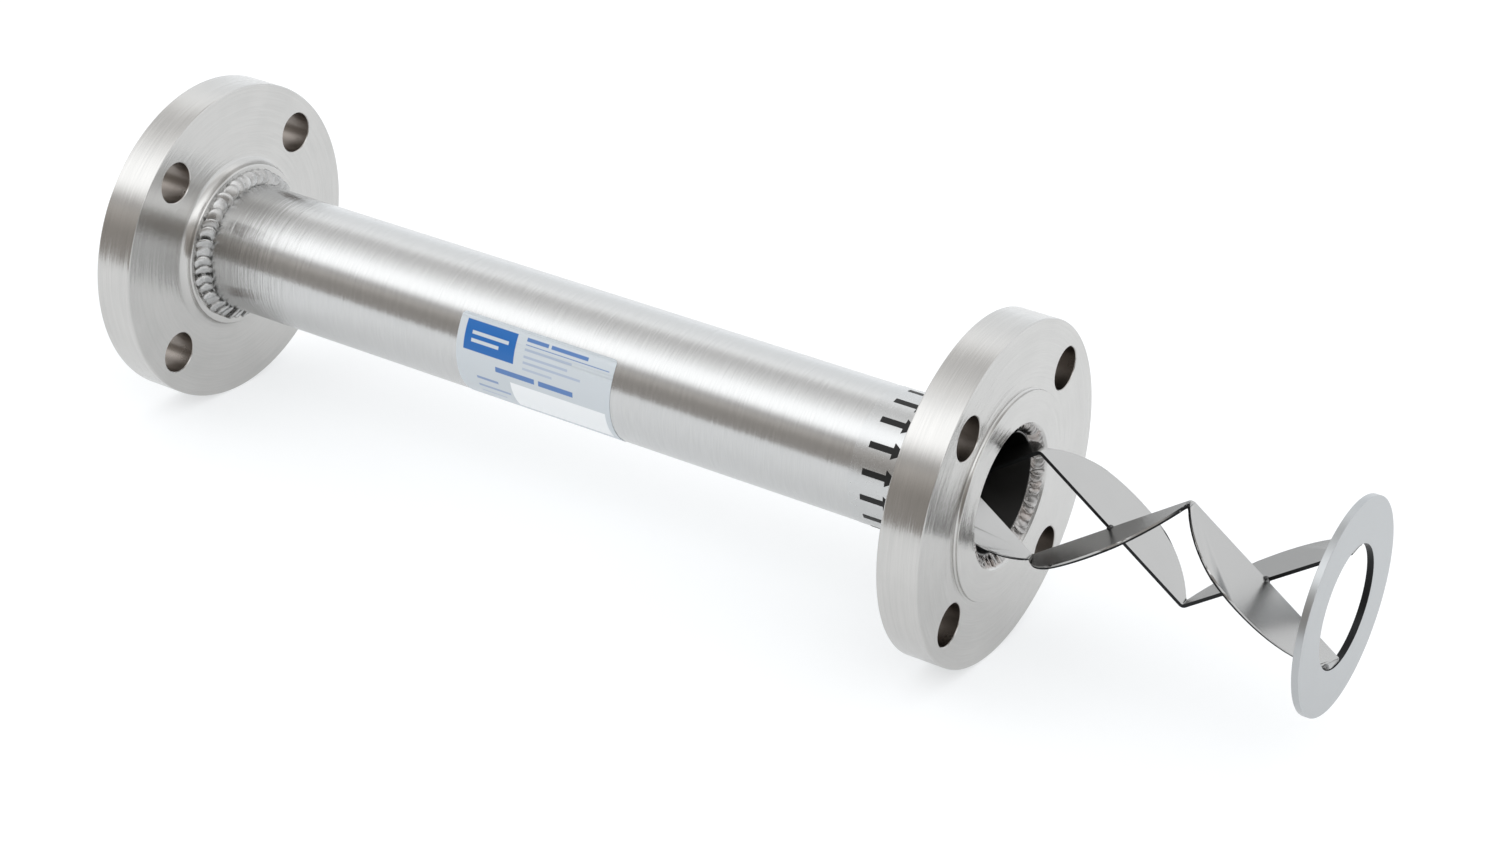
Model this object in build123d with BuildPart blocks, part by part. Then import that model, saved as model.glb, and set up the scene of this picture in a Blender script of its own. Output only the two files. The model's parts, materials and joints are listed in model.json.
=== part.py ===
from build123d import *
import math
import os

os.makedirs("parts", exist_ok=True)

# Static mixer: a flanged stainless pipe spool with a folded blade insert drawn part way out
# of its outlet. Millimetres. The pipe axis is X and points with the flow, Z is up, and the
# origin is the centre of the inlet raised face.

# Housing, from raised face to raised face
overall_length = 435.0

# Pipe, nominal 2 inch, schedule 40
pipe_od = 60.3
pipe_wall = 3.9
pipe_recess = 5.2  # each pipe end lies this far inside its raised face

# Slip-on flanges, nominal 2 inch, class 150
flange_od = 152.4
flange_rim = 19.05
slip_on_gap = 0.8  # pipe to flange bore, on the radius
bore_chamfer = 1.2
raised_face_height = 1.6
hub_wall = 7.95
hub_height = 4.75
hub_edge = 0.7
hub_land = 0.15  # straight side between the flare and the edge of the hub
bolt_to_rim = 15.875  # from the middle of a bolt hole
bolt_hole_d = 19.05
bolt_count = 4
bolt_start_angle = 45.0
hole_to_face = 4.75  # side of a bolt hole to the raised face

# Fillet welds outside the hubs and inside the flange bores
hub_weld_width = 6.2  # up the hub end
hub_weld_leg = 4.7  # along the pipe
weld_toe = 0.3  # the bore weld stops this far from the raised face and from the pipe bore

# Mixing insert: two folded strips, one each side of a plane through the axis, and a ring
running_clearance = 0.3  # blade edge to pipe bore
blade_thickness = 1.6
element_pitch = 68.5  # axial length of one crossing pair of blades
element_count = 6
fold_neck = 3.0  # width that a strip keeps where it is folded
fold_inner_radius = 1.0
fold_clearance = 0.4  # crown of a fold to pipe bore
blade_bulge = 0.8  # the arc of a blade edge passes this far outside the bore at mid blade
insert_roll = 5.4  # the plane between the strips leans this many degrees
crossing_weld_r = 1.9
crossing_weld_depth = 1.3  # into each strip from the plane between them
weld_sides = 8  # a small weld is a short prism with this many sides

# Retaining ring, which the mating flange clamps on the outlet raised face
ring_thickness = 3.0
withdrawn = 146.0  # ring to raised face, with the insert drawn out as it lies here
strip_setback = 0.5  # strip ends inside the front of the ring
tack_r = 2.0
tack_overhang = 0.8  # behind the ring, inside the mouth of the bore weld

# Nameplate sticker on the pipe
label_offset = -4.5  # middle of the sticker from the middle of the pipe
label_width = 82.5
label_height = 50.8  # around the pipe
label_top_angle = 55.6  # from the top of the pipe towards the front
label_thickness = 0.15
label_corner = 2.0

# Flow arrows, printed on a clear tape near the outlet
film_gap = 0.03  # adhesive under a film, and ink over a tape
tape_to_weld = 3.9
tape_width = 27.0
tape_thickness = 0.1
arrow_count = 16
arrow_margin = 6.0  # from the inlet side of the tape to the arrow tails
arrow_length = 17.0
arrow_head_length = 6.0
arrow_head_width = 7.4
arrow_shaft_width = 2.8
ink_thickness = 0.06

# Sizes that follow from those above
pipe_r = pipe_od / 2
bore_r = pipe_r - pipe_wall
pipe_length = overall_length - 2 * pipe_recess
flange_r = flange_od / 2
flange_bore_r = pipe_r + slip_on_gap
bolt_hole_r = bolt_hole_d / 2
bolt_circle_r = flange_r - bolt_to_rim
raised_face_r = bolt_circle_r - bolt_hole_r - hole_to_face
raised_face_root = raised_face_height / 2
hub_r = flange_bore_r + hub_wall
hub_to_hole = bolt_circle_r - bolt_hole_r - hub_r
hub_flare = min(hub_height - hub_edge, hub_to_hole) - hub_land
rim_back = raised_face_height + flange_rim
hub_end = rim_back + hub_height
middle = Plane.YZ.offset(overall_length / 2)

ring_back = overall_length + withdrawn
ring_front = ring_back + ring_thickness
strip_end = ring_front - strip_setback
element_r = bore_r - running_clearance

label_start = overall_length / 2 + label_offset - label_width / 2
tape_start = overall_length - hub_end - hub_weld_leg - tape_to_weld - tape_width
arrow_tail = tape_start + arrow_margin


def export(part, name):
    """Names one finished piece and writes it to its own file."""
    part.label = name
    export_step(part, f"parts/{name}.step")


def corner(section, x, y):
    """The corner of a section that lies at x, y."""
    return section.vertices().sort_by_distance((x, y, 0))[0]


# Housing pipe, cut square at both ends
with BuildPart() as housing_pipe:
    with BuildSketch(Plane.YZ.offset(pipe_recess)):
        Circle(pipe_r)
        Circle(bore_r, mode=Mode.SUBTRACT)
    extrude(amount=pipe_length)
export(housing_pipe.part, "housing_pipe")

# Slip-on flange: one turned section, then the bolt holes on their circle
with BuildPart() as inlet_flange:
    with BuildSketch(Plane.XY) as flange_section:
        with BuildLine():
            Polyline(
                (0, flange_bore_r + bore_chamfer),
                (0, raised_face_r),
                (raised_face_height, raised_face_r),
                (raised_face_height, flange_r),
                (rim_back, flange_r),
                (rim_back, hub_r),
                (hub_end, hub_r),
                (hub_end, flange_bore_r),
                (bore_chamfer, flange_bore_r),
                close=True,
            )
        make_face()
        chamfer(corner(flange_section, rim_back, hub_r), hub_flare)
        chamfer(corner(flange_section, raised_face_height, raised_face_r), raised_face_root)
        chamfer(corner(flange_section, hub_end, hub_r), hub_edge)
    revolve(axis=Axis.X)
    with BuildSketch(Plane.YZ):
        with PolarLocations(bolt_circle_r, bolt_count, start_angle=bolt_start_angle):
            Circle(bolt_hole_r)
    extrude(amount=hub_end, mode=Mode.SUBTRACT)
export(inlet_flange.part, "inlet_flange")


# Weld round the outside of the hub, from the hub end down to the pipe
with BuildPart() as inlet_hub_weld:
    with BuildSketch(Plane.XY):
        with BuildLine():
            toe = (hub_end + hub_weld_leg, pipe_r)
            top = (hub_end, pipe_r + hub_weld_width)
            Polyline(top, toe, (hub_end, pipe_r), close=True)
        make_face()
    revolve(axis=Axis.X)
export(inlet_hub_weld.part, "inlet_hub_weld")

# Weld inside the flange bore, from the mouth of the bore down to the pipe end
with BuildPart() as inlet_bore_weld:
    with BuildSketch(Plane.XY):
        with BuildLine():
            mouth = (weld_toe, flange_bore_r + bore_chamfer - weld_toe)
            root = (pipe_recess, bore_r + weld_toe)
            seat = (bore_chamfer, flange_bore_r), (pipe_recess, flange_bore_r)
            Polyline(root, mouth, *seat, close=True)
        make_face()
    revolve(axis=Axis.X)
export(inlet_bore_weld.part, "inlet_bore_weld")

# The outlet end repeats the inlet end, turned about the middle of the pipe
for piece, name in (
    (inlet_flange, "outlet_flange"),
    (inlet_hub_weld, "outlet_hub_weld"),
    (inlet_bore_weld, "outlet_bore_weld"),
):
    with BuildPart() as outlet_piece:
        mirror(piece.part, about=middle)
    export(outlet_piece.part, name)

# Retaining ring, as wide as the raised face, with the bore of the pipe
with BuildPart() as retaining_ring:
    with BuildSketch(Plane.YZ.offset(ring_back)):
        Circle(raised_face_r)
        Circle(bore_r, mode=Mode.SUBTRACT)
    extrude(amount=ring_thickness)
export(retaining_ring.part, "retaining_ring")

# Folded strip, seen from the side in its own plane: x runs along the pipe and y across it.
# Each strip rises and falls across the bore once per element, and is rounded by each fold.
lean = math.radians(insert_roll)
strip_plane = Plane(
    origin=(strip_end, 0, 0), x_dir=(1, 0, 0), z_dir=(0, -math.cos(lean), -math.sin(lean))
)
fold_outer_radius = fold_inner_radius + blade_thickness
crown_height = math.sqrt((bore_r - fold_clearance) ** 2 - fold_neck**2)
first_slope = math.atan2(2 * crown_height, element_pitch)
corner_height = (
    crown_height
    - blade_thickness / (2 * math.cos(first_slope))
    + fold_outer_radius * (1 / math.cos(first_slope) - 1)
)
blade_slope = math.atan2(2 * corner_height, element_pitch)
half_rise = blade_thickness / (2 * math.cos(blade_slope))
blade_half_length = element_pitch / (2 * math.cos(blade_slope))
blade_reach = blade_half_length + fold_outer_radius  # to beyond the outside of the fold
insert_length = element_pitch * element_count
first_middle = strip_end - element_pitch / 2
last_middle = strip_end - insert_length + element_pitch / 2


def fold(index):
    """Place of a fold, counted from the ring back into the pipe. The first is at the foot."""
    side = -1 if index % 2 == 0 else 1
    return -index * element_pitch, side * corner_height, side


# Outline of the strip before the bore trims it, square through the sheet: the free edge of each
# blade is one arc, which narrows to the neck at each fold. The two end halves stay full width.
with BuildPart() as strip_outline:
    for index in range(element_count):
        x, _, side = fold(index)
        along = Vector(math.cos(blade_slope), 0, 0) + strip_plane.y_dir * (side * math.sin(blade_slope))
        blade_plane = Plane(
            origin=(strip_end + x - element_pitch / 2, 0, 0),
            x_dir=along,
            z_dir=along.cross(strip_plane.z_dir),
        )
        with BuildSketch(blade_plane):
            with BuildLine():
                neck_ends = (-blade_half_length, fold_neck), (blade_half_length, fold_neck)
                ThreePointArc(neck_ends[0], (0, bore_r + blade_bulge), neck_ends[1])
                Polyline(
                    neck_ends[1],
                    (blade_reach, fold_neck),
                    (blade_reach, -fold_neck),
                    (-blade_reach, -fold_neck),
                    (-blade_reach, fold_neck),
                    neck_ends[0],
                )
            make_face()
        extrude(amount=blade_thickness, both=True)
    split(bisect_by=Plane.YZ.offset(first_middle), keep=Keep.BOTTOM)
    split(bisect_by=Plane.YZ.offset(last_middle), keep=Keep.TOP)
    for start in (first_middle, strip_end - insert_length):
        with BuildSketch(Plane.YZ.offset(start)):
            Circle(bore_r + blade_bulge)
        extrude(amount=element_pitch / 2)

# Front strip, on the side that faces the label
with BuildPart() as front_blade_strip:
    with BuildSketch(strip_plane) as strip_section:
        with BuildLine():
            folds = [fold(index) for index in range(element_count + 1)]
            upper = [(x, y + half_rise) for x, y, side in folds]
            lower = [(x, y - half_rise) for x, y, side in reversed(folds)]
            Polyline(*upper, *lower, close=True)
        make_face()
        for x, y, side in folds[1:-1]:
            fillet(corner(strip_section, x, y + side * half_rise), fold_outer_radius)
            fillet(corner(strip_section, x, y - side * half_rise), fold_inner_radius)
    extrude(amount=element_r)
    add(strip_outline.part, mode=Mode.INTERSECT)
    with BuildSketch(Plane.YZ.offset(strip_end - insert_length)):
        Circle(element_r)
    extrude(amount=insert_length, mode=Mode.INTERSECT)
export(front_blade_strip.part, "front_blade_strip")

# Back strip, the same folded piece turned half a turn about the pipe axis
with BuildPart() as back_blade_strip:
    add(front_blade_strip.part.rotate(Axis.X, 180))
export(back_blade_strip.part, "back_blade_strip")
strips = (front_blade_strip.part, back_blade_strip.part)

# Small weld at each crossing, where the straight edges of the two strips meet on the axis
for index in range(element_count):
    crossing = Plane(
        origin=(strip_end - (index + 0.5) * element_pitch, 0, 0),
        x_dir=strip_plane.x_dir,
        z_dir=strip_plane.z_dir,
    )
    with BuildPart() as crossing_weld:
        with BuildSketch(crossing):
            RegularPolygon(crossing_weld_r, weld_sides)
        extrude(amount=crossing_weld_depth, both=True)
        add(strips, mode=Mode.SUBTRACT)
    export(crossing_weld.part, f"crossing_weld_{index + 1}")

# Tack welds that hold the strip ends in the bore of the ring, two on each strip
tack_height = corner_height + half_rise
tack_places = (
    ("inner", 0.0, tack_height),
    ("outer", math.sqrt(bore_r**2 - (tack_height - 2 * half_rise) ** 2), tack_height - 2 * half_rise),
)
for end, turn in (("bottom", 0), ("top", 180)):
    for place, across, down in tack_places:
        centre = strip_plane.from_local_coords((0, -down, across)).rotate(Axis.X, turn)
        with BuildPart() as ring_tack:
            with BuildSketch(Plane.YZ.offset(ring_back - tack_overhang)):
                with Locations((centre.Y, centre.Z)):
                    RegularPolygon(tack_r, weld_sides)
            extrude(amount=tack_overhang + ring_thickness - strip_setback)
            add((retaining_ring.part, *strips), mode=Mode.SUBTRACT)
        export(ring_tack.part, f"ring_tack_{end}_{place}")

# Nameplate sticker, bent round the front of the pipe
label_sweep = math.degrees(label_height / pipe_r)
label_inner_r = pipe_r + film_gap
with BuildPart() as label_sticker:
    with BuildSketch(Plane.YZ.offset(label_start)):
        with BuildLine():
            inner = CenterArc((0, 0), label_inner_r, 90 + label_top_angle, label_sweep)
            outer = CenterArc(
                (0, 0), label_inner_r + label_thickness, 90 + label_top_angle, label_sweep
            )
            Line(inner @ 0, outer @ 0)
            Line(inner @ 1, outer @ 1)
        make_face()
    extrude(amount=label_width)
    corners = label_sticker.edges().filter_by(
        lambda edge: abs(edge.length - label_thickness) < label_thickness / 10
    )
    fillet(corners, label_corner)
export(label_sticker.part, "label_sticker")

# Clear tape wound once round the pipe, which carries the flow arrows
tape_inner_r = pipe_r + film_gap
ink_inner_r = tape_inner_r + tape_thickness + film_gap
with BuildPart() as arrow_tape:
    with BuildSketch(Plane.YZ.offset(tape_start)):
        Circle(tape_inner_r + tape_thickness)
        Circle(tape_inner_r, mode=Mode.SUBTRACT)
    extrude(amount=tape_width)
export(arrow_tape.part, "arrow_tape")

# Flow arrows, evenly spaced round the tape, each a thin layer that follows the pipe
with BuildPart() as flow_arrows:
    for index in range(arrow_count):
        turn = math.radians((index + 0.5) * 360 / arrow_count)
        outward = (0, math.sin(turn), math.cos(turn))
        with BuildSketch(Plane(origin=(arrow_tail, 0, 0), x_dir=(1, 0, 0), z_dir=outward)):
            with BuildLine():
                neck = arrow_length - arrow_head_length
                half = [
                    (0, arrow_shaft_width / 2),
                    (neck, arrow_shaft_width / 2),
                    (neck, arrow_head_width / 2),
                    (arrow_length, 0),
                ]
                Polyline(*half, *[(x, -y) for x, y in reversed(half[:-1])], close=True)
            make_face()
        extrude(amount=pipe_od)
    with BuildSketch(Plane.YZ.offset(arrow_tail)):
        Circle(ink_inner_r + ink_thickness)
        Circle(ink_inner_r, mode=Mode.SUBTRACT)
    extrude(amount=arrow_length, mode=Mode.INTERSECT)
export(flow_arrows.part, "flow_arrows")
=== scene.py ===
import json
import math
import random

import bpy
from mathutils import Matrix, Vector

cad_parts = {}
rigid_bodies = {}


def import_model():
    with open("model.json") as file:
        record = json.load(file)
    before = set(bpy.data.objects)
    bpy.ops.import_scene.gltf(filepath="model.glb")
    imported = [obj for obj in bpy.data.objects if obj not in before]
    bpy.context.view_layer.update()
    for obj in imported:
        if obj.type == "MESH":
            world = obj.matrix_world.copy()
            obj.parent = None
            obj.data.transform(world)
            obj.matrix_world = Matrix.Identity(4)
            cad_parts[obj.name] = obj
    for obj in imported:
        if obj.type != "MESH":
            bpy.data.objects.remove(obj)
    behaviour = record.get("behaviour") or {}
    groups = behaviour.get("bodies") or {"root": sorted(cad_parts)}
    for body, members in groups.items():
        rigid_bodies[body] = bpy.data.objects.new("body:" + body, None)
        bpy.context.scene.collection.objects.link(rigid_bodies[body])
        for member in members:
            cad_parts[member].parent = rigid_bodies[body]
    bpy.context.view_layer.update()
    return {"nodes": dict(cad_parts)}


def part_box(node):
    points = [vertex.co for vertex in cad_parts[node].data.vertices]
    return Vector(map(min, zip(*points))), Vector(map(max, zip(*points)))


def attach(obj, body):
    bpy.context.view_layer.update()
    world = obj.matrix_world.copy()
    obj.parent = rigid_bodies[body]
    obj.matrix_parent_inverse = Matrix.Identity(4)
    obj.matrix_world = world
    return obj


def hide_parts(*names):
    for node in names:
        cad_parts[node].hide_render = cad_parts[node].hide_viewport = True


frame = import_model()

# Housing pipe: nominal 2 inch stainless pipe, cut square at both ends and dressed all over
# with a fine belt, which leaves scratches that run round it. The inside keeps its dull mill
# skin, and its colour there is painted near black as painted shade in the bore.
mm = 0.001
pipe_low, pipe_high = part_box("housing_pipe")
pipe_r = pipe_high.z
pipe_wall = 3.9 * mm
pipe_bore_r = pipe_r - pipe_wall
fine_scratch = 0.07 * mm
merge_distance = 0.001 * mm


class Shade:
    """A socket in a node tree, so that shader maths can be written as Python expressions."""

    def __init__(self, shading, socket):
        self.shading = shading
        self.socket = socket

    def maths(self, operation, *others):
        return self.shading.node("ShaderNodeMath", {"operation": operation}, [self, *others])

    def __add__(self, other):
        return self.maths("ADD", other)

    __radd__ = __add__

    def __mul__(self, other):
        return self.maths("MULTIPLY", other)

    __rmul__ = __mul__

    def __sub__(self, other):
        return self.maths("SUBTRACT", other)

    def __rsub__(self, other):
        return self.shading.node("ShaderNodeMath", {"operation": "SUBTRACT"}, [other, self])

    def __truediv__(self, other):
        return self.maths("DIVIDE", other)

    def __pow__(self, other):
        return self.maths("POWER", other)

    def __abs__(self):
        return self.maths("ABSOLUTE")

    def ramp(self, start, end):
        """0 where this is at start, 1 where it is at end, smooth between."""
        settings = {"interpolation_type": "SMOOTHSTEP"}
        return self.shading.node("ShaderNodeMapRange", settings, {"Value": self, 1: start, 2: end})

    def within(self, low, high, soft):
        """1 between low and high, with soft edges."""
        return self.ramp(low - soft, low + soft) * (1 - self.ramp(high - soft, high + soft))


class Shading:
    """A node tree, and the ways that nodes are added to it."""

    def __init__(self, tree):
        self.tree = tree

    def node(self, kind, settings=None, inputs=(), output=0):
        """Adds a node, sets it up, fills its sockets and gives one of its outputs."""
        made = self.tree.nodes.new(kind)
        for key, value in (settings or {}).items():
            setattr(made, key, value)
        pairs = inputs.items() if isinstance(inputs, dict) else enumerate(inputs)
        for key, value in pairs:
            if isinstance(value, Shade):
                self.tree.links.new(value.socket, made.inputs[key])
            else:
                made.inputs[key].default_value = value
        return Shade(self, made.outputs[output])

    def split(self, vector):
        """The three numbers of a vector."""
        outputs = self.node("ShaderNodeSeparateXYZ", inputs=[vector]).socket.node.outputs
        return [Shade(self, socket) for socket in outputs]

    def join(self, x, y, z):
        return self.node("ShaderNodeCombineXYZ", inputs=[x, y, z])

    def vectors(self, operation, *inputs, output=0):
        return self.node("ShaderNodeVectorMath", {"operation": operation}, inputs, output)

    def dot(self, first, second):
        return self.vectors("DOT_PRODUCT", first, second, output="Value")

    def scaled(self, vector, size):
        inputs = {"Vector": vector, "Scale": size}
        return self.node("ShaderNodeVectorMath", {"operation": "SCALE"}, inputs)

    def angle(self, sideways, ahead):
        return self.node("ShaderNodeMath", {"operation": "ARCTAN2"}, [sideways, ahead])

    def mix(self, mask, low, high):
        """Goes from one colour to another as the mask goes from 0 to 1."""
        inputs = {"Factor": mask, 6: self.colour(low), 7: self.colour(high)}
        return self.node("ShaderNodeMix", {"data_type": "RGBA"}, inputs, output=2)

    def colour(self, value):
        return value if isinstance(value, Shade) else (*value, 1)

    def noise(self, vector, scale=1.0, detail=2.0, roughness=0.5):
        """Soft noise between 0 and 1."""
        inputs = {"Vector": vector, "Scale": scale, "Detail": detail, "Roughness": roughness}
        return self.node("ShaderNodeTexNoise", inputs=inputs)

    def bumps(self, height, strength, distance):
        """The normal of a surface with this relief."""
        inputs = {"Strength": strength, "Distance": distance, "Height": height}
        return self.node("ShaderNodeBump", inputs=inputs)


class Finish(Shading):
    """One material, with its Principled shader and the place on the object."""

    def __init__(self, name, **constants):
        self.material = bpy.data.materials.new(name)
        self.material.use_nodes = True
        super().__init__(self.material.node_tree)
        self.shader = self.tree.nodes["Principled BSDF"]
        for socket, value in constants.items():
            self.shader.inputs[socket.replace("_", " ")].default_value = value
        self.place = self.node("ShaderNodeTexCoord", output="Object")
        self.x, self.y, self.z = self.split(self.place)

    def set(self, **sockets):
        """Links varying values to sockets of the shader."""
        for socket, value in sockets.items():
            self.tree.links.new(value.socket, self.shader.inputs[socket.replace("_", " ")])
        return self.material


class TurnedFinish(Finish):
    """Steel whose scratches run round the pipe axis, on faces and on rims alike."""

    def __init__(self, name):
        super().__init__(name, Metallic=1.0)
        self.radius = (self.y * self.y + self.z * self.z) ** 0.5
        self.normal = self.node("ShaderNodeNewGeometry", output="Normal")
        outward = self.join(0, self.y / self.radius, self.z / self.radius)
        self.round = self.vectors("CROSS_PRODUCT", self.join(1, 0, 0), outward)
        self.across = self.vectors("CROSS_PRODUCT", self.round, self.normal)

    def streaks(self, pitch, length, shift=0):
        """Noise drawn out round the axis: pitch across the scratches, length in radians."""
        y, z = self.y / self.radius / length, self.z / self.radius / length
        inputs = {
            "Vector": self.join(self.x / pitch, y, z),
            "W": self.radius / pitch + shift,
            "Detail": 3,
            "Scale": 1,
            "Roughness": 0.65,
        }
        return self.node("ShaderNodeTexNoise", {"noise_dimensions": "4D"}, inputs)

    def scratches(self, spread, coarse, mark, waver, share=1):
        """The normal, tipped across the scratches by spread and mark, along them by waver."""
        coarse_scratch = (self.streaks(coarse, 0.9, shift=50) - 0.5) * share
        tip = (self.streaks(fine_scratch, 0.8) - 0.5) * share * spread + coarse_scratch * mark
        tipped = self.vectors("ADD", self.normal, self.scaled(self.across, tip))
        rolled = self.vectors("ADD", tipped, self.scaled(self.round, coarse_scratch * waver))
        return self.vectors("NORMALIZE", rolled)


def turned(name, stations, sides=256):
    """A solid turned about the pipe axis: one ring, drawn out from station to station."""
    bpy.ops.object.select_all(action="DESELECT")
    x, radius = stations[0]
    bpy.ops.mesh.primitive_circle_add(
        vertices=sides, radius=radius, location=(x, 0, 0), rotation=(0, math.pi / 2, 0)
    )
    piece = bpy.context.object
    piece.name = name
    bpy.ops.object.transform_apply()
    bpy.ops.object.mode_set(mode="EDIT")
    bpy.ops.mesh.select_all(action="SELECT")
    for next_x, next_radius in stations[1:] + stations[:1]:
        bpy.ops.mesh.extrude_region_move()
        grow = next_radius / radius
        bpy.ops.transform.resize(value=(1, grow, grow), center_override=(x, 0, 0))
        bpy.ops.transform.translate(value=(next_x - x, 0, 0))
        x, radius = next_x, next_radius
    bpy.ops.mesh.select_all(action="SELECT")
    bpy.ops.mesh.remove_doubles(threshold=merge_distance)
    bpy.ops.mesh.normals_make_consistent(inside=False)
    bpy.ops.object.mode_set(mode="OBJECT")
    return piece


def finish_edges(piece, angle=25):
    """Smooth shading that keeps flat faces flat up to their edges."""
    bpy.ops.object.select_all(action="DESELECT")
    piece.select_set(True)
    bpy.context.view_layer.objects.active = piece
    bpy.ops.object.shade_smooth_by_angle(angle=math.radians(angle))
    weighted = piece.modifiers.new("weighted", "WEIGHTED_NORMAL")
    weighted.keep_sharp = True
    bpy.ops.object.modifier_apply(modifier="weighted")


def dress(piece, finish, node):
    """Gives a piece its finish, and has it stand for this CAD node."""
    piece.data.materials.clear()
    piece.data.materials.append(finish)
    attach(piece, "root")
    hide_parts(node)


def brushed_pipe():
    steel = TurnedFinish("brushed_pipe_steel")
    inside = 1 - steel.radius.ramp(pipe_bore_r + 0.3 * mm, pipe_bore_r + 0.6 * mm)
    grain = steel.streaks(0.45 * mm, 0.35, shift=20)
    tone = steel.mix(grain.ramp(0.25, 0.75), (0.545, 0.547, 0.545), (0.60, 0.602, 0.598))
    return steel.set(
        # Base colour: near black on the bore wall, painted shade in the bore; its dull mill skin is
        # the added roughness.
        Base_Color=steel.mix(inside, tone, (0.08, 0.079, 0.077)),
        Roughness=0.16 + 0.07 * grain + 0.33 * inside,
        Normal=steel.scratches(1.1, 0.3 * mm, 0.03, 0.05, share=1 - inside),
    )


pipe = turned(
    "housing_pipe_finished",
    [
        (pipe_low.x, pipe_bore_r),
        (pipe_low.x, pipe_r),
        (pipe_high.x, pipe_r),
        (pipe_high.x, pipe_bore_r),
    ],
)
finish_edges(pipe)
dress(pipe, brushed_pipe(), "housing_pipe")

# Slip-on flanges, nominal 2 inch, class 150: forged, then turned all over to a satin finish
# and drilled for four bolts. The hub runs into the back of the rim with a root radius.
flange_low, flange_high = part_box("inlet_flange")
outlet_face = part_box("outlet_flange")[1].x
flange_r = flange_high.z
hub_end = flange_high.x
hub_r = 38.9 * mm
hub_edge = 0.7 * mm
root_radius = 3.9 * mm
rim_back = 20.65 * mm
rim_break = 0.8 * mm
raised_face = 1.6 * mm
raised_face_r = 46.05 * mm
face_edge = 0.3 * mm
face_root = raised_face / 2
flange_bore_r = pipe_r + 0.8 * mm
bore_chamfer = 1.2 * mm
bolt_circle_r = 60.325 * mm
bolt_hole_r = 9.525 * mm
bolt_break = 0.4 * mm
bolt_count = 4
first_bolt = 45
drill_reach = 1 * mm


def arc(x, radius, size, start, end, steps):
    """Points on a round corner centred at x and radius, with angles from the pipe axis."""
    turns = [math.radians(start + (end - start) * step / steps) for step in range(steps + 1)]
    return [(x + size * math.cos(turn), radius + size * math.sin(turn)) for turn in turns]


def turned_flange_steel():
    steel = TurnedFinish("turned_flange_steel")
    bolt_side = bolt_circle_r * math.sqrt(0.5)
    from_bolt = ((abs(steel.y) - bolt_side) ** 2 + (abs(steel.z) - bolt_side) ** 2) ** 0.5
    in_hole = 1 - from_bolt.ramp(bolt_hole_r, bolt_hole_r + 0.3 * mm)
    grain = steel.streaks(0.5 * mm, 0.4, shift=20)
    cloud = steel.noise(steel.place, scale=45, detail=4)
    worn = (grain * 0.6 + cloud * 0.4).ramp(0.3, 0.7)
    tone = steel.mix(worn, (0.52, 0.514, 0.502), (0.585, 0.577, 0.563))
    return steel.set(
        # Base colour: darker, browner bolt hole walls, painted shade in the holes; their rougher
        # drilled surface is real.
        Base_Color=steel.mix(in_hole, tone, (0.24, 0.215, 0.195)),
        Roughness=0.12 + 0.1 * cloud + 0.12 * in_hole,
        Normal=steel.scratches(1.5, 0.4 * mm, 0.03, 0.03),
    )


def choose(piece, chosen):
    """Opens edit mode with only the chosen points selected."""
    bpy.ops.object.mode_set(mode="EDIT")
    bpy.ops.mesh.select_all(action="DESELECT")
    bpy.ops.object.mode_set(mode="OBJECT")
    for point in piece.data.vertices:
        point.select = chosen(point.co)
    bpy.ops.object.mode_set(mode="EDIT")


def bolt_drill():
    """The bolt hole and the broken edges at its mouths, as one cutter on the pipe axis."""
    hole_low, hole_high = raised_face + bolt_break, rim_back - bolt_break
    bpy.ops.object.select_all(action="DESELECT")
    bpy.ops.mesh.primitive_cylinder_add(
        vertices=64,
        radius=bolt_hole_r,
        depth=hole_high - hole_low,
        location=((hole_low + hole_high) / 2, 0, 0),
        rotation=(0, math.pi / 2, 0),
    )
    drill = bpy.context.object
    bpy.ops.object.transform_apply()
    flare = 1 + (bolt_break + drill_reach) / bolt_hole_r
    for side, end in ((-1, hole_low), (1, hole_high)):
        choose(drill, lambda place: abs(place.x - end) < 0.01 * mm)
        bpy.ops.mesh.extrude_region_move()
        bpy.ops.transform.resize(value=(1, flare, flare), center_override=(end, 0, 0))
        bpy.ops.transform.translate(value=(side * (bolt_break + drill_reach), 0, 0))
        bpy.ops.object.mode_set(mode="OBJECT")
    return drill


def mirrored(piece, name):
    """The same piece at the outlet end, turned round the middle of the pipe."""
    twin = piece.copy()
    twin.data = piece.data.copy()
    twin.name = name
    bpy.context.collection.objects.link(twin)
    twin.data.transform(Matrix.Translation((outlet_face, 0, 0)) @ Matrix.Rotation(math.pi, 4, "Z"))
    return twin


inlet_flange = turned(
    "inlet_flange_finished",
    [
        (0, flange_bore_r + bore_chamfer),
        *arc(face_edge, raised_face_r - face_edge, face_edge, 180, 90, 3),
        *arc(raised_face - face_root, raised_face_r + face_root, face_root, 270, 360, 5),
        *arc(raised_face + rim_break, flange_r - rim_break, rim_break, 180, 90, 5),
        *arc(rim_back - rim_break, flange_r - rim_break, rim_break, 90, 0, 5),
        *arc(rim_back + root_radius, hub_r + root_radius, root_radius, 180, 270, 8),
        *arc(hub_end - hub_edge, hub_r - hub_edge, hub_edge, 90, 0, 4),
        (hub_end, flange_bore_r),
        (bore_chamfer, flange_bore_r),
    ],
)
for bolt in range(bolt_count):
    drill = bolt_drill()
    drill.data.transform(Matrix.Translation((0, 0, bolt_circle_r)))
    drill.data.transform(Matrix.Rotation(math.radians(first_bolt + 360 * bolt / bolt_count), 4, "X"))
    cut = inlet_flange.modifiers.new("bolt_hole", "BOOLEAN")
    cut.object = drill
    bpy.context.view_layer.objects.active = inlet_flange
    bpy.ops.object.modifier_apply(modifier="bolt_hole")
    bpy.data.objects.remove(drill)
outlet_flange = mirrored(inlet_flange, "outlet_flange_finished")
flange_steel = turned_flange_steel()
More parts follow.
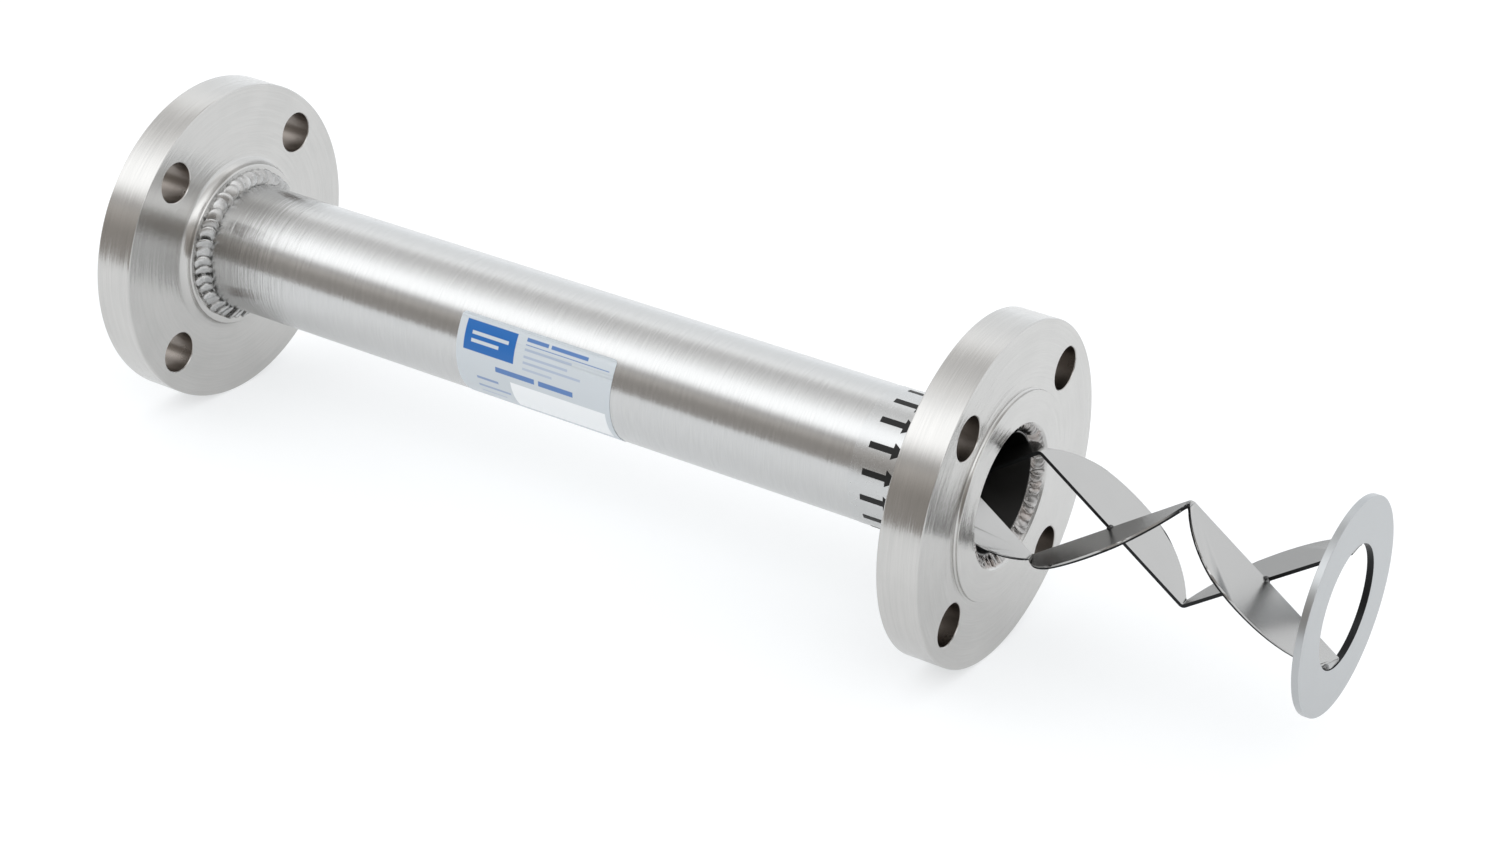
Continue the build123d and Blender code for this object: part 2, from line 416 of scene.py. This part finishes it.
for flange, node in ((inlet_flange, "inlet_flange"), (outlet_flange, "outlet_flange")):
    finish_edges(flange)
    dress(flange, flange_steel, node)

# Weld beads: fillet welds laid by hand, each a row of overlapping ripples like fish scales.
# Outside the hubs the bead is brushed silver, inside the bores it keeps a dull heat tint.
hub_weld_top = pipe_r + 6.2 * mm
hub_weld_toe = hub_end + 4.7 * mm
bore_weld_mouth = flange_bore_r + bore_chamfer
sunk = 0.15 * mm
random.seed(11)


def bead(name, x, radius, face_turn, scale_size, tip, pitch, base):
    """A ring of thin tipped scales on a full round, melted into one skin."""
    ring = turned(name, base, sides=168)
    count = round(2 * math.pi * radius / pitch)
    scales = []
    for index in range(count):
        bpy.ops.object.select_all(action="DESELECT")
        bpy.ops.mesh.primitive_uv_sphere_add(segments=32, ring_count=16, radius=1)
        scale = bpy.context.object
        swell = random.uniform(0.86, 1.1)
        size = Matrix.Diagonal((scale_size.x * swell, scale_size.y, scale_size.z, 1))
        lift = Matrix.Rotation(math.radians(tip + random.uniform(-12, 12)), 4, "X")
        face = Matrix.Rotation(math.radians(face_turn), 4, "Y")
        set_out = Matrix.Translation((x, 0, radius + random.uniform(-0.25, 0.2) * mm))
        place = (index + random.uniform(-0.22, 0.22)) * 360 / count
        around = Matrix.Rotation(math.radians(place), 4, "X")
        scale.data.transform(around @ set_out @ face @ lift @ size)
        scales.append(scale)
    bpy.ops.object.select_all(action="DESELECT")
    for scale in scales:
        scale.select_set(True)
    ring.select_set(True)
    bpy.context.view_layer.objects.active = ring
    bpy.ops.object.join()
    melt = ring.modifiers.new("melt", "REMESH")
    melt.mode = "VOXEL"
    melt.voxel_size = 0.3 * mm
    bpy.ops.object.modifier_apply(modifier="melt")
    outermost = max(point.co.yz.length for point in ring.data.vertices)
    choose(ring, lambda place: place.yz.length == outermost)
    bpy.ops.mesh.select_linked()
    bpy.ops.mesh.select_all(action="INVERT")
    bpy.ops.mesh.delete(type="VERT")
    bpy.ops.object.mode_set(mode="OBJECT")
    soften = ring.modifiers.new("soften", "SMOOTH")
    soften.factor = 0.5
    soften.iterations = 1
    bpy.ops.object.modifier_apply(modifier="soften")
    bpy.ops.object.shade_smooth()
    return ring


def weld_steel(name, dark_blotch_and_crease_shade, pale_blotch_and_crest_light, tint, tint_share):
    metal = Finish(name, Metallic=1.0)
    # Pointiness paints shade into the creases between scales and a painted highlight on their
    # crests, mixed with random blotches of tone.
    crease_shade_and_crest_light = metal.node("ShaderNodeNewGeometry", output="Pointiness").ramp(0.46, 0.53)
    blotch = metal.noise(metal.place, scale=240, detail=3).ramp(0.3, 0.7)
    stain = metal.noise(metal.place, scale=120, detail=2).ramp(0.5, 0.62) * tint_share
    tone = metal.mix(crease_shade_and_crest_light * 0.6 + blotch * 0.4, dark_blotch_and_crease_shade, pale_blotch_and_crest_light)
    grit = metal.noise(metal.place, scale=2200, detail=3, roughness=0.7)
    return metal.set(
        Base_Color=metal.mix(stain, tone, tint),
        Roughness=0.2 + 0.12 * blotch,
        Normal=metal.bumps(grit, strength=0.3, distance=0.1 * mm),
    )


hub_bead = bead(
    "inlet_hub_weld_finished",
    x=hub_end + 2.1 * mm,
    radius=pipe_r + 2.9 * mm,
    face_turn=52,
    scale_size=Vector((4.0, 4.3, 1.1)) * mm,
    tip=20,
    pitch=4.6 * mm,
    base=[
        (hub_end - sunk, pipe_r - sunk),
        (hub_end - sunk, hub_weld_top - 0.8 * mm),
        (hub_weld_toe - 0.8 * mm, pipe_r - sunk),
    ],
)
bore_bead = bead(
    "inlet_bore_weld_finished",
    x=3.3 * mm,
    radius=flange_bore_r - 1.3 * mm,
    face_turn=-133,
    scale_size=Vector((3.2, 3.2, 0.75)) * mm,
    tip=-27,
    pitch=2.9 * mm,
    base=[
        (pipe_low.x + sunk, pipe_bore_r + 0.3 * mm),
        (0.5 * mm, bore_weld_mouth - 0.6 * mm),
        (bore_chamfer, flange_bore_r + sunk),
        (pipe_low.x + sunk, flange_bore_r + sunk),
    ],
)
hub_weld_steel = weld_steel(
    "hub_weld_steel",
    dark_blotch_and_crease_shade=(0.14, 0.14, 0.138),
    pale_blotch_and_crest_light=(0.66, 0.66, 0.655),
    tint=(0.3, 0.29, 0.28),
    tint_share=0.4,
)
bore_weld_steel = weld_steel(
    "bore_weld_steel",
    dark_blotch_and_crease_shade=(0.13, 0.12, 0.115),
    pale_blotch_and_crest_light=(0.56, 0.55, 0.54),
    tint=(0.34, 0.28, 0.25),
    tint_share=0.45,
)
for weld, node, finish in (
    (hub_bead, "inlet_hub_weld", hub_weld_steel),
    (mirrored(hub_bead, "outlet_hub_weld_finished"), "outlet_hub_weld", hub_weld_steel),
    (bore_bead, "inlet_bore_weld", bore_weld_steel),
    (mirrored(bore_bead, "outlet_bore_weld_finished"), "outlet_bore_weld", bore_weld_steel),
):
    dress(weld, finish, node)

# Nameplate: a silver grey film sticker on the front of the pipe, with blue print and a white
# box to write in. The print is plain bars and fields.
label_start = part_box("label_sticker")[0].x
label_top = math.radians(55.6)
print_edge = 0.2
print_blue = (0.012, 0.14, 0.46)
print_bars = (  # left, right, top and bottom in mm from the label's corner, and strength
    (36, 47.5, 2.9, 4.6, 0.85),
    (49, 68.5, 2.9, 4.6, 0.85),
    (36, 80.2, 5.9, 6.3, 0.75),
    (36, 61, 7.7, 8.8, 0.3),
    (36, 59.3, 10.9, 12, 0.3),
    (36, 66.6, 13.6, 14.7, 0.3),
    (36, 51.8, 16.6, 17.7, 0.25),
    (21.4, 42.4, 20.6, 23.2, 0.85),
    (44.6, 63, 20.6, 23.2, 0.85),
    (10.3, 22, 28.8, 30.3, 0.6),
    (10, 27.4, 34, 35.5, 0.5),
    (10, 23.5, 38.8, 39.9, 0.25),
)


def smooth_copy(node, finish):
    """A smooth shaded copy of a CAD node, which it then stands for."""
    piece = bpy.data.objects.new(node + "_finished", frame["nodes"][node].data.copy())
    bpy.context.collection.objects.link(piece)
    bpy.ops.object.select_all(action="DESELECT")
    piece.select_set(True)
    bpy.context.view_layer.objects.active = piece
    bpy.ops.object.mode_set(mode="EDIT")
    bpy.ops.mesh.select_all(action="SELECT")
    bpy.ops.mesh.remove_doubles(threshold=merge_distance)
    bpy.ops.object.mode_set(mode="OBJECT")
    bpy.ops.object.shade_smooth_by_angle(angle=math.radians(25))
    dress(piece, finish, node)


def printed_label():
    film = Finish("silver_label_film", Metallic=0.0, Roughness=0.42)
    along = (film.x - label_start) / mm
    down = (film.angle(0 - film.y, film.z) - label_top) * (pipe_r / mm)

    def patch(left, right, top, bottom, strength=1):
        across = along.within(left, right, print_edge)
        return across * down.within(top, bottom, print_edge) * strength

    blue = 0
    for bar in print_bars:
        blue = patch(*bar) + blue
    pale = patch(7.6, 27.2, 7.2, 8.8) + patch(7.6, 22.4, 10.8, 12.4)
    field = patch(3.8, 31, 2.7, 16.5) * (1 - pale)
    box = patch(29, 79.7, 26.3, 43.2)
    paper = film.mix(box, (0.63, 0.68, 0.72), (0.94, 0.97, 0.99))
    return film.set(Base_Color=film.mix((field + blue) * (1 - box), paper, print_blue))


smooth_copy("label_sticker", printed_label())

# Flow tape: clear matte tape wound once round the pipe by the outlet, printed with black
# arrows that point with the flow.
tape_low, tape_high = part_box("arrow_tape")
tape_inner_r = tape_high.z - 0.1 * mm


def clear_tape():
    tape = TurnedFinish("clear_matte_tape")
    weave = tape.noise(tape.place, scale=900, detail=2)
    return tape.set(
        Base_Color=tape.mix(weave, (0.545, 0.55, 0.55), (0.60, 0.605, 0.605)),
        Roughness=0.22 + 0.08 * weave,
        Normal=tape.scratches(1.1, 0.4 * mm, 0.03, 0.05),
    )


def arrow_ink():
    ink = Finish("arrow_ink", Metallic=0.0, Specular_IOR_Level=0.3)
    wear = ink.noise(ink.place, scale=700, detail=2)
    return ink.set(
        Base_Color=ink.mix(wear, (0.006, 0.006, 0.006), (0.013, 0.013, 0.013)),
        Roughness=0.4 + 0.15 * wear,
    )


tape = turned(
    "arrow_tape_finished",
    [
        (tape_low.x, tape_inner_r),
        (tape_low.x, tape_high.z),
        (tape_high.x, tape_high.z),
        (tape_high.x, tape_inner_r),
    ],
)
finish_edges(tape)
dress(tape, clear_tape(), "arrow_tape")
arrows = frame["nodes"]["flow_arrows"]
arrows.data.materials.clear()
arrows.data.materials.append(arrow_ink())

# Mixing insert: two strips of satin sheet, each folded to and fro and cut round to the bore.
# The cut edges are dark. Those that run along the axis are burnt all through, those round the
# outside have a bright band and a dark one.
strip_start, strip_end = (corner.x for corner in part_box("front_blade_strip"))
element_pitch = (strip_end - strip_start) / 6
fold_height = 25.32 * mm  # middle of the sheet at a fold, from the axis
blade_slope = math.atan2(2 * fold_height, element_pitch)
lean = math.radians(5.4)
burnt = (0.03, 0.031, 0.032)


def blade_sheet(name, lower_side):
    """Satin sheet. The lower side is 1 for the front strip and -1 for the back one."""
    sheet = Finish(name, Metallic=1.0, Specular_Tint=(0.45, 0.45, 0.45, 1))
    normal = sheet.node("ShaderNodeNewGeometry", output="Normal")
    facing = sheet.dot(normal, sheet.join(0, -math.cos(lean), -math.sin(lean)))
    height = sheet.dot(sheet.place, sheet.join(0, -math.sin(lean), math.cos(lean)))
    travel = strip_end - sheet.x
    swing = sheet.node("ShaderNodeMath", {"operation": "PINGPONG"}, [travel, element_pitch])
    middle = (swing / element_pitch * 2 - 1) * fold_height
    depth = (height * lower_side - middle) * math.cos(blade_slope)
    from_fold = element_pitch / 2 - abs(swing - element_pitch / 2)
    by_fold = 1 - from_fold.ramp(2 * mm, 9 * mm)
    straight_cut = (facing * -lower_side).ramp(0.8, 0.9)
    free_cut = (facing * lower_side).ramp(0.25, 0.45)
    bright_band = depth.ramp(-0.15 * mm, 0.2 * mm) * (1 - by_fold)
    dark = straight_cut + free_cut * (1 - bright_band)
    grain = sheet.noise(sheet.place, scale=1500, detail=3)
    cloud = sheet.noise(sheet.place, scale=60, detail=3)
    tone = sheet.mix(grain * 0.4 + cloud * 0.6, (0.47, 0.466, 0.459), (0.52, 0.516, 0.508))
    return sheet.set(
        Base_Color=sheet.mix(dark, tone, burnt),
        Roughness=0.23 + 0.05 * cloud + dark * 0.2,
        Normal=sheet.bumps(grain, strength=0.12, distance=0.05 * mm),
    )


smooth_copy("front_blade_strip", blade_sheet("front_blade_sheet", 1))
smooth_copy("back_blade_strip", blade_sheet("back_blade_sheet", -1))

# Small welds of the insert: a spot of filler where the strips cross on the axis, and tacks
# that hold the strip ends in the ring. They are dull, blotched dark and grey.
lump_size = 1.6 * mm
lump_height = 0.7 * mm


def spot_weld_metal():
    metal = Finish("spot_weld_metal", Metallic=1.0)
    blotch = metal.noise(metal.place, scale=500, detail=3).ramp(0.35, 0.65)
    return metal.set(
        Base_Color=metal.mix(blotch, (0.03, 0.03, 0.03), (0.3, 0.3, 0.3)),
        Roughness=0.35 + 0.2 * blotch,
    )


spot_metal = spot_weld_metal()
for node in sorted(frame["nodes"]):
    if node.startswith(("crossing_weld", "ring_tack")):
        low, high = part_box(node)
        bpy.ops.object.select_all(action="DESELECT")
        bpy.ops.mesh.primitive_uv_sphere_add(segments=24, ring_count=14, radius=1)
        spot = bpy.context.object
        spot.name = node + "_finished"
        half = (high - low) / 2
        spot.data.transform(Matrix.Translation((low + high) / 2) @ Matrix.Diagonal((*half, 1)))
        lumps = bpy.data.textures.new(node + "_lumps", "CLOUDS")
        lumps.noise_scale = lump_size
        rough = spot.modifiers.new("rough", "DISPLACE")
        rough.texture = lumps
        rough.texture_coords = "LOCAL"
        rough.strength = lump_height
        rough.mid_level = 0.6
        bpy.ops.object.modifier_apply(modifier="rough")
        bpy.ops.object.shade_smooth()
        dress(spot, spot_metal, node)

# Retaining ring: flat ring cut from satin sheet, turned on its rim. Its hole is burnt dark
# like the strips.
ring_low, ring_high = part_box("retaining_ring")
ring_r = ring_high.y
rim_round = 0.3 * mm
hole_break = 0.15 * mm


def ring_sheet():
    sheet = TurnedFinish("ring_sheet")
    hole = 1 - sheet.radius.ramp(pipe_bore_r + 0.02 * mm, pipe_bore_r + 0.12 * mm)
    cloud = sheet.noise(sheet.place, scale=50, detail=3)
    tone = sheet.mix(cloud, (0.425, 0.437, 0.445), (0.47, 0.483, 0.491))
    return sheet.set(
        Base_Color=sheet.mix(hole, tone, burnt),
        Roughness=0.28 + 0.05 * cloud + 0.15 * hole,
        Normal=sheet.scratches(0.3, 0.8 * mm, 0.05, 0.04),
    )


ring = turned(
    "retaining_ring_finished",
    [
        *arc(ring_low.x + rim_round, ring_r - rim_round, rim_round, 180, 90, 3),
        *arc(ring_high.x - rim_round, ring_r - rim_round, rim_round, 90, 0, 3),
        (ring_high.x, pipe_bore_r + hole_break),
        (ring_high.x - hole_break, pipe_bore_r),
        (ring_low.x + hole_break, pipe_bore_r),
        (ring_low.x, pipe_bore_r + hole_break),
    ],
)
finish_edges(ring)
dress(ring, ring_sheet(), "retaining_ring")

# Studio: a white table with its front edge half a metre away, and a soft sky of lamps and
# paper round it. The sky is bright in front overhead and dim low in front, past the table.
table_size = 20
front_edge = -0.5
sky_strength = 1.07
sky_bands = (  # degrees from overhead, back being positive, then level and warmth
    (-150, 0.92, 0.0),
    (-110, 0.34, 0.1),
    (-88, 0.35, 0.12),
    (-79, 0.33, 0.13),
    (-71, 0.44, 0.12),
    (-65, 0.56, 0.1),
    (-59, 0.49, 0.04),
    (-55, 0.75, 0.02),
    (-50, 1.33, -0.01),
    (-45, 1.66, -0.02),
    (-36, 1.66, -0.02),
    (-26, 1.58, -0.02),
    (-18, 1.31, -0.02),
    (-8, 1.06, 0.0),
    (2, 0.86, 0.0),
    (12, 0.74, 0.01),
    (20, 0.79, 0.01),
    (27, 1.06, 0.0),
    (34, 1.24, -0.02),
    (45, 1.10, -0.03),
    (62, 1.03, -0.04),
    (78, 1.04, -0.05),
    (90, 1.2, -0.06),
    (150, 1.2, -0.03),
)


def white_table():
    """Diffuse white. Camera rays, and less so reflections, see it as a lit white ground."""
    paper = Finish("white_table")
    paper.tree.nodes.remove(paper.shader)
    camera_ray = paper.node("ShaderNodeLightPath", output="Is Camera Ray")
    glossy_ray = paper.node("ShaderNodeLightPath", output="Is Glossy Ray")
    matt = paper.node("ShaderNodeBsdfDiffuse", inputs={"Color": (0.93, 0.94, 0.95, 1)})
    glow = {"Color": (0.985, 1.0, 1.01, 1), "Strength": 1.15}
    lit = paper.node("ShaderNodeEmission", inputs=glow)
    share = camera_ray * 0.5 + glossy_ray * 0.28
    ground = paper.node("ShaderNodeMixShader", inputs=[share, matt, lit])
    paper.tree.links.new(ground.socket, paper.tree.nodes["Material Output"].inputs["Surface"])
    return paper.material


def studio_sky():
    """Bands of light along the pipe, with plain white behind the object."""
    world = bpy.data.worlds.new("studio")
    world.use_nodes = True
    sky = Shading(world.node_tree)
    x, y, z = sky.split(sky.node("ShaderNodeTexCoord", output="Generated"))
    bands = sky.node("ShaderNodeValToRGB", inputs=[(sky.angle(y, z) / math.pi + 1) / 2])
    stops = bands.socket.node.color_ramp.elements
    for degrees, level, warmth in sky_bands:
        stop = stops.new((degrees + 180) / 360)
        stop.color = (level * (1 + warmth / 2), level, level * (1 - warmth / 2), 1)
    stops.remove(stops[-1])
    stops.remove(stops[0])
    lamps = sky.node("ShaderNodeBackground", inputs={"Color": bands, "Strength": sky_strength})
    backdrop = sky.node("ShaderNodeBackground", inputs={"Color": (1, 1, 1, 1)})
    camera_ray = sky.node("ShaderNodeLightPath", output="Is Camera Ray")
    seen = sky.node("ShaderNodeMixShader", inputs=[camera_ray, lamps, backdrop])
    sky.tree.links.new(seen.socket, sky.tree.nodes["World Output"].inputs["Surface"])
    return world


bpy.ops.object.select_all(action="DESELECT")
bpy.ops.mesh.primitive_plane_add(
    size=table_size, location=(0, table_size / 2 + front_edge, flange_low.z)
)
table = bpy.context.object
table.name = "table"
table.data.materials.append(white_table())
bpy.context.scene.world = studio_sky()
bpy.context.scene.view_settings.view_transform = "Standard"

# Camera: a long lens from the outlet end, well above the pipe and tipped a little.
target = Vector((307.5, 0, -5.5)) * mm
distance = 1364 * mm
azimuth, elevation, roll = math.radians(30.28), math.radians(26.04), math.radians(3.99)
back = Vector(
    (
        math.sin(azimuth) * math.cos(elevation),
        -math.cos(azimuth) * math.cos(elevation),
        math.sin(elevation),
    )
)
lens = bpy.data.cameras.new("camera")
lens.lens = 75.602
lens.sensor_width = 36
lens.clip_start = 0.05
camera = bpy.data.objects.new("camera", lens)
bpy.context.collection.objects.link(camera)
camera.location = target + back * distance
aim = (-back).to_track_quat("-Z", "Y").to_matrix().to_4x4()
camera.rotation_euler = (aim @ Matrix.Rotation(roll, 4, "Z")).to_euler()
bpy.context.scene.camera = camera
